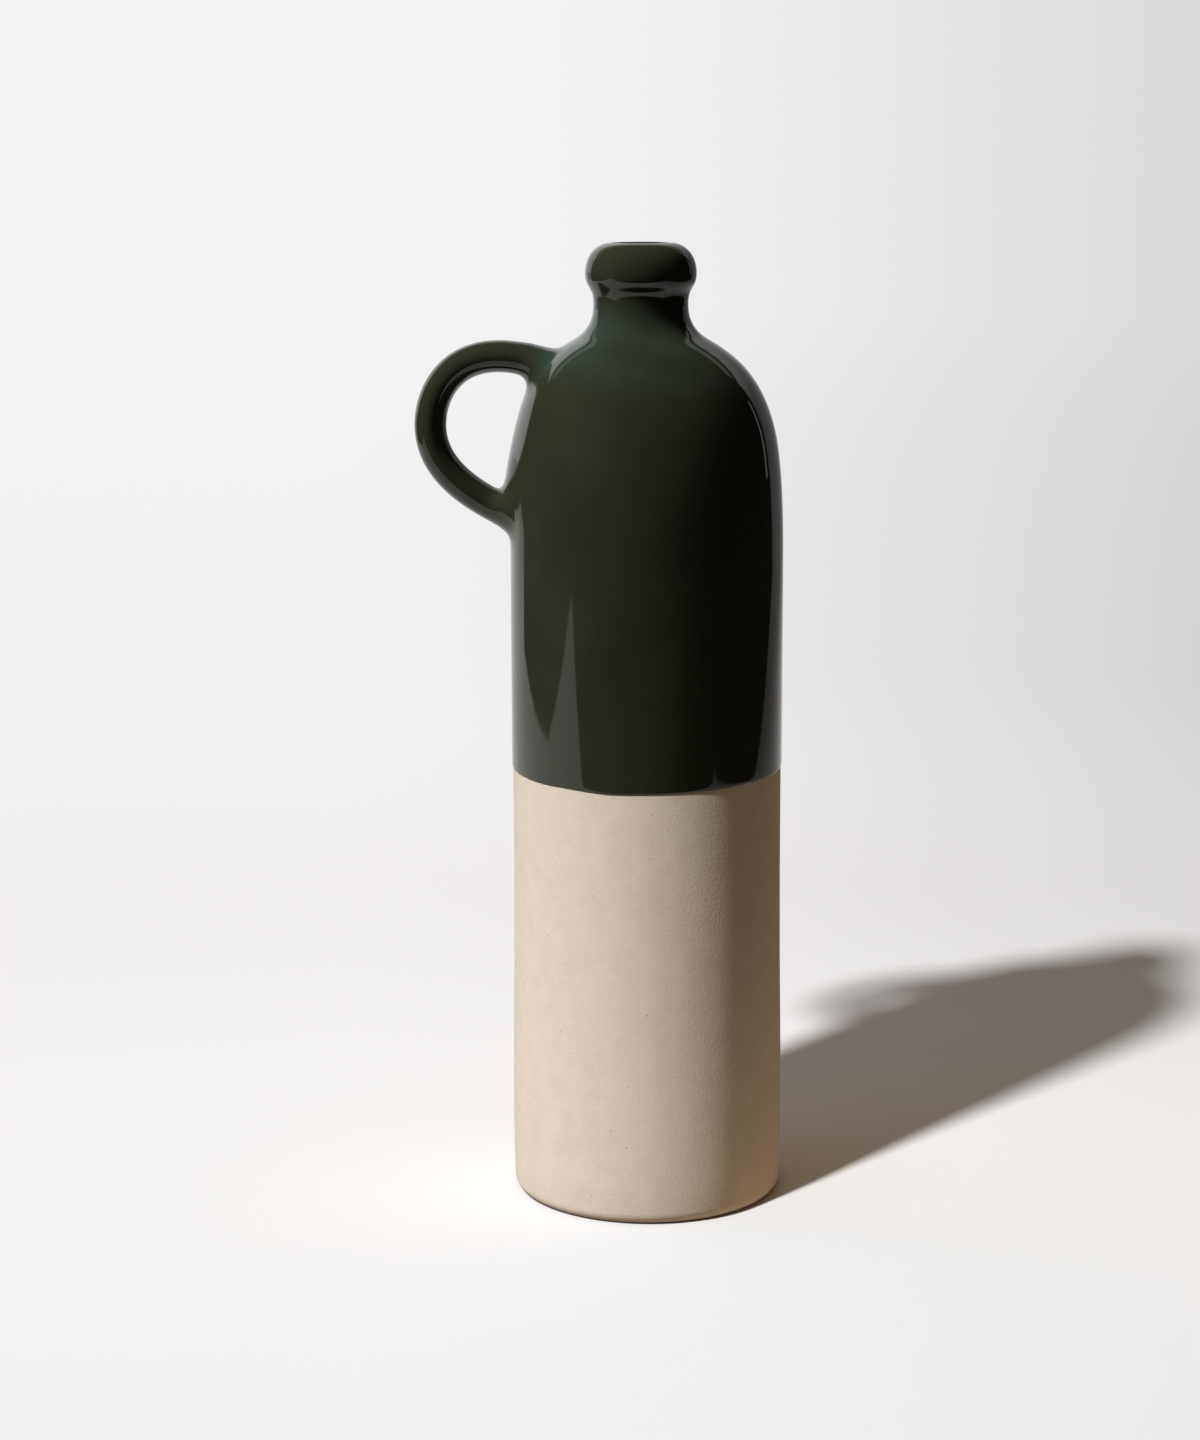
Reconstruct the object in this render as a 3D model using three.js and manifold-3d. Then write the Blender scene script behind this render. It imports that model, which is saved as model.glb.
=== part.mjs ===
// Stoneware bottle jug: a thrown body with one loop handle, the upper half dipped in dark green glaze.
// Millimetres, +Z up, origin at the centre of the flat foot, handle towards -X.

import * as THREE from 'three';
import { mergeVertices } from 'three/addons/utils/BufferGeometryUtils.js';
import loadManifold from 'manifold-3d';

// Vessel wall and foot
const wallRadius = 45;
const wallThickness = 5.5;
const baseThickness = 8;
const footRound = 4;
const chamberRound = 7;

// Shoulder: a dome from the wall to the fillet under the neck; its curve pulls up at the wall and in at the top
const shoulderStart = 214.3;
const shoulderRise = 85.7;
const shoulderPullUp = 54.7;
const shoulderPullIn = 20.7;
const shoulderSlope = 29.2;

// Neck, collar and mouth; the neck stands off the body's axis, towards the handle
const neckRadius = 15.2;
const neckFillet = 12;
const neckStraight = 1.8;
const neckLean = 1.9;
const leanLength = 34.5;
const collarRadius = 17.95;
const collarSwell = 9.2;
const collarCrown = 9.5;
const crownPullUp = 6.6;
const crownPullIn = 3.3;
const boreRadius = 9;
const boreRound = 10;
const lipRound = 1;

// Glaze: coat thickness, height of the dip line on the axis, and the tilt of the dip
const glazeThickness = 0.4;
const glazeLine = 149;
const glazeLineFrontDrop = 3;
const glazeLineRightRise = 0.4;
const glazeEdge = 0.6;

// Handle: an oval strap whose middle line leaves the shoulder, turns down and comes back to the wall
const handleThickness = 9.8;
const handleWidth = 14.5;
const handleReach = 26.6;
const upperRootDrop = 19.8;
const upperRootAngle = 23;
const upperRootPull = 31.5;
const bellyDrop = 38.6;
const bellyPullUp = 10.2;
const bellyPullDown = 13.1;
const lowerRootRise = 17.5;
const lowerRootAngle = 25;
const lowerRootPull = 18.2;
const rootSwell = 0.4;
const rootSwellLength = 9;
const rootSink = 9;

// Slip joint under each handle root
const slipThickness = 0.8;
const slipSpread = 1.2;
const jointGap = 0.3;

// Facets
const turnSegments = 36;
const shoulderSteps = 10;
const filletSteps = 4;
const collarSteps = 4;
const roundSteps = 3;
const handleSteps = 22;
const handleSides = 12;

const wasm = await loadManifold();
wasm.setup();

const slope = THREE.MathUtils.degToRad(shoulderSlope);
const point = (radius, height) => new THREE.Vector2(radius, height);

// The domed shoulder and the fillet up into the neck, for the outside or the inside surface.
function shoulderProfile(wall, neck, fillet, foot) {
  const turn = Math.PI / 2 - slope;
  const domeTop = point(neck + fillet * (1 - Math.cos(turn)), foot - fillet * Math.sin(turn));
  const downSlope = point(Math.cos(slope), -Math.sin(slope));
  const dome = new THREE.CubicBezierCurve(
    point(wall, shoulderStart), point(wall, shoulderStart + shoulderPullUp),
    domeTop.clone().addScaledVector(downSlope, shoulderPullIn), domeTop,
  );
  const hollow = new THREE.EllipseCurve(neck + fillet, foot, fillet, fillet, Math.PI + turn, Math.PI, true);
  return [...dome.getPoints(shoulderSteps), ...hollow.getPoints(filletSteps).slice(1)];
}

const neckFoot = shoulderStart + shoulderRise;
const outerShoulder = shoulderProfile(wallRadius, neckRadius, neckFillet, neckFoot);
const collarFoot = neckFoot + neckStraight;
const collarWidest = collarFoot + collarSwell;
const mouthTop = collarWidest + collarCrown;
const crestRadius = boreRadius + lipRound;

// The collar's swell out of the neck and its crown up to the crest of the lip.
function collarProfile() {
  const halfway = collarFoot + collarSwell / 2;
  const swell = new THREE.CubicBezierCurve(
    point(neckRadius, collarFoot), point(neckRadius, halfway),
    point(collarRadius, halfway), point(collarRadius, collarWidest),
  );
  const crown = new THREE.CubicBezierCurve(
    point(collarRadius, collarWidest), point(collarRadius, collarWidest + crownPullUp),
    point(crestRadius + crownPullIn, mouthTop), point(crestRadius, mouthTop),
  );
  return [...swell.getPoints(collarSteps), ...crown.getPoints(collarSteps).slice(1)];
}

// The inside surface, from the crest of the lip down the bore and the chamber to the middle of the base.
function insideProfile() {
  const innerWall = wallRadius - wallThickness;
  const drop = (neckFillet + wallThickness - boreRound) / Math.cos(slope);
  const drawnIn = neckRadius + neckFillet - boreRadius - boreRound;
  const boreFoot = neckFoot - drop + drawnIn * Math.tan(slope);
  const shoulder = shoulderProfile(innerWall, boreRadius, boreRound, boreFoot).reverse();
  const lip = new THREE.EllipseCurve(
    crestRadius, mouthTop - lipRound, lipRound, lipRound, Math.PI / 2, Math.PI,
  );
  const corner = new THREE.EllipseCurve(
    innerWall - chamberRound, baseThickness + chamberRound, chamberRound, chamberRound, 0, -Math.PI / 2, true,
  );
  return [...lip.getPoints(roundSteps), ...shoulder, ...corner.getPoints(roundSteps), point(0, baseThickness)];
}

// A line of points moved to its right by a distance, each stretch staying parallel to itself.
function offsetProfile(points, distance) {
  const rights = points.slice(1).map((end, i) => {
    const along = end.clone().sub(points[i]).normalize();
    return point(along.y, -along.x);
  });
  return points.map((here, i) => {
    const before = rights[Math.max(i - 1, 0)];
    const after = rights[Math.min(i, rights.length - 1)];
    const middle = before.clone().add(after).normalize();
    return here.clone().addScaledVector(middle, distance / middle.dot(before));
  });
}

// How far the axis has moved in x at a height: nothing up to the shoulder, the whole lean from the dome's top up.
function leanAt(height) {
  const domeTop = neckFoot - neckFillet * Math.cos(slope);
  return -neckLean * THREE.MathUtils.smoothstep(height, domeTop - leanLength, domeTop);
}

// A profile turned about the upright axis, with every ring moved by the lean.
function turned(profile) {
  const geometry = new THREE.LatheGeometry(profile, turnSegments).rotateX(Math.PI / 2);
  const position = geometry.attributes.position;
  for (let i = 0; i < position.count; i += 1) {
    position.setX(i, position.getX(i) + leanAt(position.getZ(i)));
  }
  return geometry;
}

// A solid skinned over a row of rings with equal numbers of points, with a flat cap on each end.
function skinned(rings) {
  const sides = rings[0].length;
  const corners = rings.flat();
  const faces = [];
  for (let i = 0; i < rings.length - 1; i += 1) {
    for (let j = 0; j < sides; j += 1) {
      const here = i * sides + j;
      const next = i * sides + (j + 1) % sides;
      faces.push(here, next, here + sides, next, next + sides, here + sides);
    }
  }
  const last = (rings.length - 1) * sides;
  for (let j = 1; j < sides - 1; j += 1) {
    faces.push(0, j + 1, j);
    faces.push(last, last + j, last + j + 1);
  }
  const geometry = new THREE.BufferGeometry().setFromPoints(corners);
  geometry.setIndex(faces);
  return geometry;
}

// A closed geometry as a solid that can be joined and cut.
function solidOf(geometry) {
  const bare = geometry.clone();
  bare.deleteAttribute('normal');
  bare.deleteAttribute('uv');
  const merged = mergeVertices(bare, 1e-4);
  const index = merged.index.array;
  const triVerts = [];
  for (let i = 0; i < index.length; i += 3) {
    const [a, b, c] = index.slice(i, i + 3);
    if (a !== b && b !== c && c !== a) {
      triVerts.push(a, b, c);
    }
  }
  const vertProperties = merged.attributes.position.array;
  return new wasm.Manifold(new wasm.Mesh({ numProp: 3, vertProperties, triVerts: new Uint32Array(triVerts) }));
}

// A cut or joined solid back as a geometry.
function geometryOf(solid) {
  const mesh = solid.getMesh();
  const geometry = new THREE.BufferGeometry();
  geometry.setAttribute('position', new THREE.BufferAttribute(mesh.vertProperties, 3));
  geometry.setIndex(new THREE.BufferAttribute(mesh.triVerts, 1));
  geometry.computeVertexNormals();
  return geometry;
}

// Stoneware body
const collar = collarProfile();
const inside = insideProfile();
const footEdge = new THREE.EllipseCurve(
  wallRadius - footRound, footRound, footRound, footRound, -Math.PI / 2, 0,
).getPoints(roundSteps);
const bodyGeometry = turned([
  point(0, 0), ...footEdge, ...outerShoulder, ...collar, ...inside.slice(1),
]);

// The body's outside grown by a distance, as a plain solid that trims what is stuck on the body.
function grownBody(distance) {
  const grown = offsetProfile([point(wallRadius, 0), ...outerShoulder], distance);
  return solidOf(turned([point(0, grown[0].y), ...grown, point(0, grown.at(-1).y)]));
}

// Middle line of the handle, in the upright plane through the axis
function bodyRadiusAt(height) {
  const above = outerShoulder.findIndex((p) => p.y > height);
  if (above <= 0) {
    return wallRadius;
  }
  const low = outerShoulder[above - 1];
  const high = outerShoulder[above];
  return THREE.MathUtils.mapLinear(height, low.y, high.y, low.x, high.x);
}

function surfacePoint(height) {
  return new THREE.Vector3(leanAt(height) - bodyRadiusAt(height), 0, height);
}

function outward(angle) {
  const turn = THREE.MathUtils.degToRad(angle);
  return new THREE.Vector3(-Math.cos(turn), 0, Math.sin(turn));
}

const up = new THREE.Vector3(0, 0, 1);
const upperRoot = surfacePoint(neckFoot - upperRootDrop);
const lowerRoot = surfacePoint(shoulderStart + lowerRootRise);
const belly = new THREE.Vector3(-wallRadius - handleReach, 0, neckFoot - bellyDrop);
const handleLine = new THREE.CurvePath();
handleLine.add(new THREE.CubicBezierCurve3(
  upperRoot,
  upperRoot.clone().addScaledVector(outward(upperRootAngle), upperRootPull),
  belly.clone().addScaledVector(up, bellyPullUp),
  belly,
));
handleLine.add(new THREE.CubicBezierCurve3(
  belly,
  belly.clone().addScaledVector(up, -bellyPullDown),
  lowerRoot.clone().addScaledVector(outward(lowerRootAngle), lowerRootPull),
  lowerRoot,
));

// Stations along the handle: centre, direction and how much the section swells towards a root.
function handleStations() {
  const length = handleLine.getLength();
  const stations = [];
  for (let i = 0; i <= handleSteps; i += 1) {
    const along = i / handleSteps;
    const fromRoot = Math.min(along, 1 - along) * length;
    const nearness = Math.max(0, 1 - fromRoot / rootSwellLength);
    stations.push({
      centre: handleLine.getPointAt(along),
      direction: handleLine.getTangentAt(along),
      swell: 1 + rootSwell * nearness ** 2,
    });
  }
  const first = stations[0];
  const last = stations.at(-1);
  const sunkFirst = first.centre.clone().addScaledVector(first.direction, -rootSink);
  const sunkLast = last.centre.clone().addScaledVector(last.direction, rootSink);
  return [{ ...first, centre: sunkFirst }, ...stations, { ...last, centre: sunkLast }];
}

// An oval strap over a run of stations, grown all round by a distance.
function strap(stations, growth) {
  const across = new THREE.Vector3(0, 1, 0);
  const rings = stations.map(({ centre, direction, swell }) => {
    const outside = across.clone().cross(direction);
    const halfThickness = swell * handleThickness / 2 + growth;
    const halfWidth = swell * handleWidth / 2 + growth;
    return Array.from({ length: handleSides }, (_, j) => {
      const turn = 2 * Math.PI * j / handleSides;
      return centre.clone()
        .addScaledVector(outside, halfThickness * Math.cos(turn))
        .addScaledVector(across, halfWidth * Math.sin(turn));
    });
  });
  return solidOf(skinned(rings));
}

const stations = handleStations();
const rootRun = Math.floor(stations.length / 3);
const upperStations = stations.slice(0, rootRun);
const lowerStations = stations.slice(-rootRun);
const handleTrim = grownBody(jointGap + slipThickness + jointGap);
const clayStrap = strap(stations, 0);
const handleGeometry = geometryOf(clayStrap.subtract(handleTrim));
const handleGlazeGeometry = geometryOf(
  strap(stations, glazeThickness).subtract(clayStrap).subtract(handleTrim),
);

// Slip joints: thin pads on the body's surface, a little wider than the root that they hold
const slipLayer = grownBody(jointGap + slipThickness).subtract(grownBody(jointGap));
const lutingGeometry = (run) => geometryOf(strap(run, slipSpread).intersect(slipLayer));

// Outer glaze: a coat that follows the clay from the tilted dip line to the crest of the lip
function bodyGlazeGeometry() {
  const clay = [point(wallRadius, glazeLine), ...outerShoulder, ...collar];
  const surface = offsetProfile(clay, glazeThickness);
  surface[0].y += glazeEdge;
  surface.at(-1).set(crestRadius, mouthTop + glazeThickness);
  const coat = turned([clay[0], ...surface, ...clay.reverse()]);
  const position = coat.attributes.position;
  for (let i = 0; i < position.count; i += 1) {
    if (position.getZ(i) <= glazeLine + glazeEdge + 1e-3) {
      const rightRise = glazeLineRightRise * position.getX(i) / wallRadius;
      const frontDrop = glazeLineFrontDrop * position.getY(i) / wallRadius;
      position.setZ(i, position.getZ(i) + rightRise + frontDrop);
    }
  }
  const rootRoom = slipSpread + jointGap;
  return geometryOf(
    solidOf(coat).subtract(strap(upperStations, rootRoom)).subtract(strap(lowerStations, rootRoom)),
  );
}

// Liner glaze: a coat over the whole inside, meeting the outer coat on the crest of the lip
function innerGlazeGeometry() {
  const surface = offsetProfile(inside, glazeThickness);
  surface[0].set(crestRadius, mouthTop + glazeThickness);
  return turned([...inside.toReversed(), ...surface]);
}

function clay(colour) {
  return new THREE.MeshStandardMaterial({ color: colour, roughness: 0.85, metalness: 0 });
}

function glaze(colour) {
  return new THREE.MeshStandardMaterial({ color: colour, roughness: 0.12, metalness: 0 });
}

const jug = new THREE.Group();

function addPiece(name, geometry, material) {
  const piece = new THREE.Mesh(geometry, material);
  piece.name = name;
  jug.add(piece);
}

addPiece('stoneware_body', bodyGeometry, clay('#c8b496'));
addPiece('handle', handleGeometry, clay('#c8b496'));
addPiece('upper_luting', lutingGeometry(upperStations), clay('#bba686'));
addPiece('lower_luting', lutingGeometry(lowerStations), clay('#bba686'));
addPiece('body_glaze', bodyGlazeGeometry(), glaze('#282c24'));
addPiece('handle_glaze', handleGlazeGeometry, glaze('#282c24'));
addPiece('inner_glaze', innerGlazeGeometry(), glaze('#2c3228'));

export default jug;
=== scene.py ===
import math
from functools import partial

import bmesh
import bpy
from mathutils import Matrix, Vector
from mathutils.geometry import interpolate_bezier


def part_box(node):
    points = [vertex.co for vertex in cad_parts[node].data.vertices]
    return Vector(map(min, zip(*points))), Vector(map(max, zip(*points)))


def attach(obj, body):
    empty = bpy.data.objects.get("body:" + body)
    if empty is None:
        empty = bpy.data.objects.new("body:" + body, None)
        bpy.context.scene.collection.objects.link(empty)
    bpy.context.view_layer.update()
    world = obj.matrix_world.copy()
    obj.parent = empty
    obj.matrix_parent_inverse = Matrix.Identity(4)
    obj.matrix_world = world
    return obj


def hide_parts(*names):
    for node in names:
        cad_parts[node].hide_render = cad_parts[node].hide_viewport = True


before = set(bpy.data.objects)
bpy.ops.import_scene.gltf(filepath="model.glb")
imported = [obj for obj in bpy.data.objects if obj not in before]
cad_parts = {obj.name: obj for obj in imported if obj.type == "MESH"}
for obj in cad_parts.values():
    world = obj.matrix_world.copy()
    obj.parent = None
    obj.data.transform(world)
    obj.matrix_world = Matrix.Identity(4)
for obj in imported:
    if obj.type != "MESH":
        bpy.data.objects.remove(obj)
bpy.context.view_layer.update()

print("frame loaded:", ", ".join(sorted(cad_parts)))

# Lengths are in millimetres until a mesh is finished, angles in degrees.
metresPerMm = 0.001
tiny = 0.001                       # the least gap, where a merge or a division needs one
circlePull = 0.5523                # with this pull a Bezier quarter is a circle's or an ellipse's

# The turned clay form, from the foot to the lip.
jug = {
    "wallRadius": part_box("stoneware_body")[1].y / metresPerMm,
    "wallThickness": 5.5,
    "baseThickness": 8.0,
    "footRound": 4.0,
    "chamberRound": 7.0,
    "shoulderStart": 214.3,        # height where the wall starts to curve in
    "shoulderPullUp": 54.7,        # the curve's pull at the wall, then at the neck
    "shoulderPullIn": 20.7,
    "shoulderSlope": 29.2,         # where the shoulder runs into the neck's fillet
    "neckRadius": 15.2,
    "neckFillet": 12.0,
    "neckFoot": 300.0,             # where the fillet ends in the upright neck
    "neckStraight": 1.8,
    "collarRadius": 17.95,
    "collarSwell": 9.2,
    "collarCrown": 9.5,
    "crownPulls": (0.7, 0.42),
    "boreRadius": 9.0,
    "boreRound": 10.0,
    "lipRound": 1.0,
    "glazeThickness": 0.4,
    "neckLean": 1.9,               # the neck leans this much towards the handle
    "leanLength": 34.5,            # over this much of the dome, up to its top
    "footSpread": 0.8,             # the wall is a little wider just above the foot
    "footSpreadHeight": 33.0,
    "footSpreadReach": 45.0,
}
slope = math.radians(jug["shoulderSlope"])


def perMetre(sizeInMm):
    return 1 / (sizeInMm * metresPerMm)


def smoothStep(low, high, value):
    t = min(max((value - low) / (high - low), 0), 1)
    return t * t * (3 - 2 * t)


# A turned skin: the wall's radius, the throat with its fillet, and the height where that ends.
def skin(grow):
    return {
        "wall": jug["wallRadius"] + grow,
        "throat": jug["neckRadius"] + grow,
        "fillet": jug["neckFillet"] - grow,
        "foot": jug["neckFoot"],
    }


# The skin inside: it runs under the shoulder at the wall's thickness.
def innerSkin(shrink):
    inset = jug["wallThickness"] + shrink
    throat = jug["boreRadius"] - shrink
    fillet = jug["boreRound"] + shrink
    drawn = jug["neckRadius"] + jug["neckFillet"] - throat - fillet
    drop = (jug["neckFillet"] + inset - fillet) / math.cos(slope)
    return {
        "wall": jug["wallRadius"] - inset,
        "throat": throat,
        "fillet": fillet,
        "foot": jug["neckFoot"] - drop + drawn * math.tan(slope),
    }


# Concave quarter from the shoulder into the upright throat; the last point is the throat's foot.
def throatFillet(form, steps):
    points = []
    for i in range(steps + 1):
        turn = (math.pi / 2 - slope) * (1 - i / steps)
        points.append((form["throat"] + form["fillet"] * (1 - math.cos(turn)),
                       form["foot"] - form["fillet"] * math.sin(turn)))
    return points


# Radius of the wall or the domed shoulder at a height, found on the shoulder's curve by halving.
def radiusAt(form, height):
    topRadius, topHeight = throatFillet(form, 1)[0]
    start = jug["shoulderStart"]
    pullIn = jug["shoulderPullIn"]
    radii = (form["wall"], form["wall"], topRadius + pullIn * math.cos(slope), topRadius)
    heights = (start, start + jug["shoulderPullUp"],
               topHeight - pullIn * math.sin(slope), topHeight)
    low, high = 0.0, 1.0
    for halving in range(40):
        t = (low + high) / 2
        if bezierAt(heights, t) < height:
            low = t
        else:
            high = t
    return bezierAt(radii, low)


# Points up the shoulder's curve, from the wall to just below the throat's fillet.
def shoulderLine(form, filletFoot, steps):
    start = jug["shoulderStart"]
    heights = [start + (filletFoot - start) * i / steps for i in range(steps)]
    return [(radiusAt(form, height), height) for height in heights]


def bezierAt(pulls, t):
    a, b, c, d = pulls
    u = 1 - t
    return u * u * u * a + 3 * u * u * t * b + 3 * u * t * t * c + t * t * t * d


# A rounded quarter from start to end.
def quarterTurn(start, end, startsUpright, steps, pulls=(circlePull, circlePull)):
    near, far = pulls
    mid = (start[0], start[1] + (end[1] - start[1]) * near)
    mid2 = (end[0] + (start[0] - end[0]) * far, end[1])
    if not startsUpright:
        mid = (start[0] + (end[0] - start[0]) * near, start[1])
        mid2 = (end[0], end[1] + (start[1] - end[1]) * far)
    return [tuple(p) for p in interpolate_bezier(start, mid, mid2, end, steps + 1)]


# Neck, collar, crown and lip above the throat fillet.
def mouthOutline(form, grow, steps):
    foot = form["foot"] + jug["neckStraight"]
    swellTop = foot + jug["collarSwell"]
    collar = jug["collarRadius"] + grow
    crest = (jug["boreRadius"] + jug["lipRound"], swellTop + jug["collarCrown"] + grow)
    half = (foot + swellTop) / 2
    swell = interpolate_bezier((form["throat"], foot), (form["throat"], half),
                               (collar, half), (collar, swellTop), steps + 1)
    crown = quarterTurn((collar, swellTop), crest, True, steps + 1, jug["crownPulls"])
    lipFoot = (jug["boreRadius"] - grow, crest[1] - jug["lipRound"] - grow)
    lip = quarterTurn(crest, lipFoot, False, steps // 2)
    return [tuple(p) for p in swell] + crown[1:] + lip[1:]


# A hand-thrown jug isn't quite straight: its neck leans and its foot spreads a little.
def settleByHand(bm):
    for v in bm.verts:
        z = v.co.z
        gap = (z - jug["footSpreadHeight"]) / jug["footSpreadReach"]
        spread = 1 + jug["footSpread"] / jug["wallRadius"] * math.exp(-gap * gap)
        v.co.x *= spread
        v.co.y *= spread
        v.co.x += leanAt(z)


def leanAt(height):
    domeTop = jug["neckFoot"] - jug["neckFillet"] * math.cos(slope)
    return -jug["neckLean"] * smoothStep(domeTop - jug["leanLength"], domeTop, height)


# An outline in the XZ plane, joined point to point and spun round Z.
def spinOutline(bm, outline, steps):
    line = [bm.verts.new((r, 0, z)) for r, z in outline]
    edges = [bm.edges.new(pair) for pair in zip(line, line[1:])]
    bmesh.ops.spin(bm, geom=line + edges, cent=(0, 0, 0), axis=(0, 0, 1),
                   angle=2 * math.pi, steps=steps, use_merge=True)
    bmesh.ops.remove_doubles(bm, verts=bm.verts, dist=tiny)
    bmesh.ops.dissolve_degenerate(bm, edges=bm.edges, dist=tiny / 2)
    bmesh.ops.recalc_face_normals(bm, faces=bm.faces)


def finishPiece(name, bm, material, nodes):
    bmesh.ops.scale(bm, vec=(metresPerMm,) * 3, verts=bm.verts)
    for face in bm.faces:
        face.smooth = True
    mesh = bpy.data.meshes.new(name)
    bm.to_mesh(mesh)
    bm.free()
    mesh.materials.append(material)
    piece = bpy.data.objects.new(name, mesh)
    bpy.context.scene.collection.objects.link(piece)
    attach(piece, "root")
    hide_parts(*nodes)
    print("made", name, "with", len(mesh.polygons), "faces")
    return piece


# The skin's smoothing, the same in the viewport, the render and the export.
def smoothSkin(piece, subdivisions):
    smooth = piece.modifiers.new("smooth skin", "SUBSURF")
    smooth.levels = subdivisions
    smooth.render_levels = subdivisions


def thickenCoat(piece):
    coat = piece.modifiers.new("coat thickness", "SOLIDIFY")
    coat.thickness = jug["glazeThickness"] * metresPerMm
    coat.offset = -1


# Material tools: colours are sRGB hex, one function adds any node.
def hexColour(text):
    channels = [int(text[i:i + 2], 16) / 255 for i in (1, 3, 5)]
    linear = [c / 12.92 if c <= 0.04045 else ((c + 0.055) / 1.055) ** 2.4 for c in channels]
    return (*linear, 1.0)


# A number or colour is set on a socket, another node's output is linked to it.
def fill(tree, socket, value):
    if isinstance(value, bpy.types.NodeSocket):
        tree.links.new(value, socket)
    else:
        socket.default_value = value


# Settings go to the node or to its socket of that name, terms to the sockets in use, in order.
# Gives the node's output, or all of them by name where it has more than one.
def addNode(tree, kind, settings={}, *terms):
    node = tree.nodes.new("ShaderNode" + kind)
    for name, value in settings.items():
        if name in node.inputs:
            fill(tree, node.inputs[name], value)
        else:
            setattr(node, name, value)
    for socket, term in zip([socket for socket in node.inputs if socket.enabled], terms):
        fill(tree, socket, term)
    outputs = [socket for socket in node.outputs if socket.enabled]
    return outputs[0] if len(outputs) == 1 else node.outputs


# Settings that many nodes share.
inColour = {"data_type": "RGBA"}
smoothly = {"interpolation_type": "SMOOTHSTEP"}
falling = (1.0, 0.0)               # what a range gives at its low and its high end
times = {"operation": "MULTIPLY"}
timesPlus = {"operation": "MULTIPLY_ADD"}
plus = {"operation": "ADD"}
minus = {"operation": "SUBTRACT"}
over = {"operation": "DIVIDE"}
atLeast = {"operation": "MAXIMUM"}
atMost = {"operation": "MINIMUM"}
moreThan = {"operation": "GREATER_THAN"}
lessThan = {"operation": "LESS_THAN"}
closeTo = {"operation": "COMPARE"}
lengthOf = {"operation": "LENGTH"}


def newMaterial(name):
    material = bpy.data.materials.new(name)
    material.use_nodes = True
    return material, material.node_tree, material.node_tree.nodes["Principled BSDF"]


# Specks scattered over a ground colour, each softer towards its rim.
def scatterSpecks(add, place, look, ground):
    cells = add("TexVoronoi", {"Vector": place, "Scale": perMetre(look["speckMm"])})["Distance"]
    radius = look["speckRadiusMm"] / look["speckMm"]
    speck = add("MapRange", {}, cells, radius * look["speckCore"], radius, look["speckShare"], 0.0)
    return add("Mix", inColour, speck, ground, hexColour(look["speck"]))


# Bottle-green stoneware glaze, dipped and fired glossy: near black in the shade,
# olive where light falls, mirror-sharp reflections that waver a little, a few pin specks.
greenGlazeLook = {
    "olive": "#2c2f23",
    "deep": "#26291e",
    "paintedHighlight": "#303e36",           # painted highlight: a lighter, bluer green on the shoulder's top, where the lamp's softened reflection sits
    "highlightShare": 0.75,
    "highlightFootMm": (262, 288),      # heights over which it starts, and ends at the neck
    "highlightTopMm": (294, 304),
    "highlightReachMm": (34, 40),       # distance from the axis, which leaves out the handle
    "speck": "#12130d",
    "cloudMm": 38,
    "cloudSpan": (0.35, 0.65),
    "speckMm": 5.0,
    "speckRadiusMm": 0.22,
    "speckCore": 0.6,              # share of the radius that has the full colour
    "speckShare": 0.8,
    "waveMm": 24,
    "waveDepthMm": 0.03,
    "peelMm": 2.2,
    "peelDepthMm": 0.0012,
    "roughness": (0.035, 0.06),
    "ior": 1.5,
}


def makeGreenGlaze(look):
    material, tree, shader = newMaterial("glossyGreenStonewareGlaze")
    add = partial(addNode, tree)
    place = add("TexCoord")["Object"]
    cloud = add("TexNoise", {"Vector": place, "Detail": 3.0,
                             "Scale": perMetre(look["cloudMm"])})["Fac"]
    tone = add("MapRange", {}, cloud, *look["cloudSpan"])
    body = add("Mix", inColour, tone, hexColour(look["deep"]), hexColour(look["olive"]))
    # the painted highlight is a band round the shoulder
    foot, top, reach = ([edge * metresPerMm for edge in look[span]]
                        for span in ("highlightFootMm", "highlightTopMm", "highlightReachMm"))
    height = add("SeparateXYZ", {}, place)["Z"]
    away = add("VectorMath", lengthOf, add("VectorMath", times, place, (1, 1, 0)))
    shoulder = add("MapRange", smoothly, height, *foot, 0.0, look["highlightShare"])
    belowNeck = add("MapRange", smoothly, height, *top, *falling)
    onBody = add("MapRange", smoothly, away, *reach, *falling)
    band = add("Math", times, shoulder, add("Math", times, belowNeck, onBody))
    paintedHighlight = add("Mix", inColour, add("Math", times, band, tone), body, hexColour(look["paintedHighlight"]))
    wave = add("TexNoise", {"Vector": place, "Detail": 1.0,
                            "Scale": perMetre(look["waveMm"])})["Fac"]
    waveBump = add("Bump", {"Distance": look["waveDepthMm"] * metresPerMm, "Height": wave})
    peel = add("TexNoise", {"Vector": place, "Detail": 2.0,
                            "Scale": perMetre(look["peelMm"])})["Fac"]
    peelBump = add("Bump", {"Distance": look["peelDepthMm"] * metresPerMm, "Height": peel,
                            "Normal": waveBump})
    fill(tree, shader.inputs["Base Color"], scatterSpecks(add, place, look, paintedHighlight))
    fill(tree, shader.inputs["Roughness"], add("MapRange", {}, cloud, 0.0, 1.0, *look["roughness"]))
    fill(tree, shader.inputs["IOR"], look["ior"])
    fill(tree, shader.inputs["Normal"], peelBump)
    return material


# Buff stoneware, turned on the wheel, sponged and fired bare: dry and matte, a fine sandy grain,
# faint turning rings, scattered iron specks.
stonewareLook = {
    "name": "bareBuffStoneware",
    "pale": "#d4c6b2",
    "warm": "#c9baa3",
    "toneSpan": (0.6, 1.4),
    "speck": "#86745c",
    "mottleMm": 7,
    "grainMm": 0.9,                # finer on the real clay; drawn this coarse so that it shows
    "grainDepthMm": 0.09,
    "ringMm": 20.1,                # from one turning ring to the next
    "ringDepthMm": 0.015,
    "speckMm": 6.0,
    "speckRadiusMm": 0.34,
    "speckCore": 0.5,
    "speckShare": 0.75,
    "roughness": 0.88,
    "specular": 0.25,
}
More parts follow.
